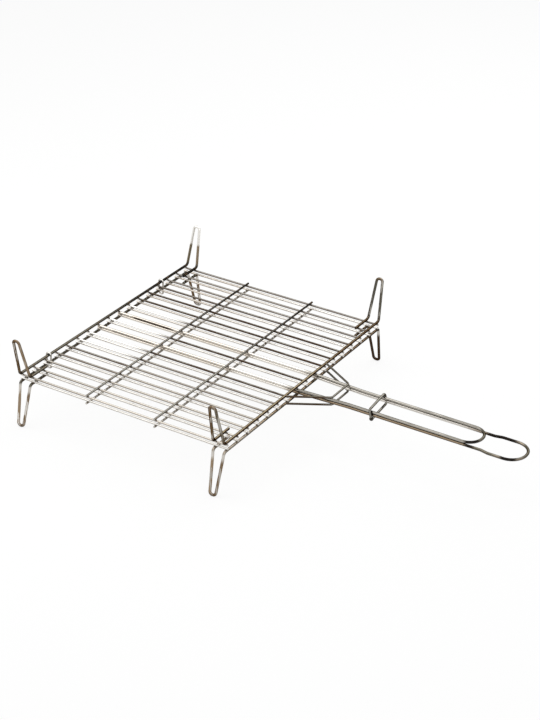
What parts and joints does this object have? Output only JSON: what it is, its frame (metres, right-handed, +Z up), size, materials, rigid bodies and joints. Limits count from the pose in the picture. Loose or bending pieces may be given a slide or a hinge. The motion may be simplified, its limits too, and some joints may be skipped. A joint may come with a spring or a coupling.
{
  "type": "double grill grate",
  "caption": "Hinged double wire grate that clamps food flat over embers, with hairpin legs on both sides, wire handles and a sliding locking ring.",
  "frame": {"origin": "on the ground that the lower legs stand on, under the middle of the closed outline's box", "axes": "+X runs from the hinge to the handles, +Y across the bars, +Z up"},
  "size_m": [0.684, 0.444, 0.138],
  "materials": {
    "grid_wire": "bright drawn wire, plated, slightly dulled",
    "frame_wire": "bright plated wire",
    "ring_wire": "plated wire, a little duller"
  },
  "bodies": {
    "lower_grid": {"lower_bar_01": "grid_wire", "lower_bar_02": "grid_wire", "lower_bar_03": "grid_wire", "lower_bar_04": "grid_wire", "lower_bar_05": "grid_wire", "lower_bar_06": "grid_wire", "lower_bar_07": "grid_wire", "lower_bar_09": "grid_wire", "lower_bar_11": "grid_wire", "lower_bar_12": "grid_wire", "lower_bar_13": "grid_wire", "lower_bar_14": "grid_wire", "lower_bar_15": "grid_wire", "lower_bar_16": "grid_wire", "lower_bar_17": "grid_wire", "lower_cross_wire_1": "grid_wire", "lower_cross_wire_2": "grid_wire", "lower_hinge_frame": "frame_wire", "lower_front_frame": "frame_wire", "lower_handle": "frame_wire", "lower_brace": "frame_wire"},
    "hinge_rings": {"hinge_ring_1": "ring_wire", "hinge_ring_2": "ring_wire"},
    "upper_grid": {"upper_bar_01": "grid_wire", "upper_bar_02": "grid_wire", "upper_bar_03": "grid_wire", "upper_bar_04": "grid_wire", "upper_bar_05": "grid_wire", "upper_bar_06": "grid_wire", "upper_bar_07": "grid_wire", "upper_bar_09": "grid_wire", "upper_bar_11": "grid_wire", "upper_bar_12": "grid_wire", "upper_bar_13": "grid_wire", "upper_bar_14": "grid_wire", "upper_bar_15": "grid_wire", "upper_bar_16": "grid_wire", "upper_bar_17": "grid_wire", "upper_cross_wire_1": "grid_wire", "upper_cross_wire_2": "grid_wire", "upper_hinge_frame": "frame_wire", "upper_front_frame": "frame_wire", "upper_handle": "frame_wire", "upper_brace": "frame_wire"},
    "locking_ring": {"locking_ring": "ring_wire"}
  },
  "joints": [
    {"name": "ring_swing", "type": "hinge", "parent": "lower_grid", "child": "hinge_rings", "pos_m": [-0.337, 0, 0.06285], "axis": [0, -1, 0], "range_deg": [0, 90]},
    {"name": "lid_fold", "type": "hinge", "parent": "hinge_rings", "child": "upper_grid", "pos_m": [-0.337, 0, 0.07515], "axis": [0, -1, 0], "range_deg": [0, 90]},
    {"name": "lock_slide", "type": "slide", "parent": "lower_grid", "child": "locking_ring", "axis": [1, 0, 0], "range_m": [-0.037, 0.164]}
  ],
  "couplings": [
    {"joint": "ring_swing", "follows": "lid_fold", "ratio": 1}
  ]
}
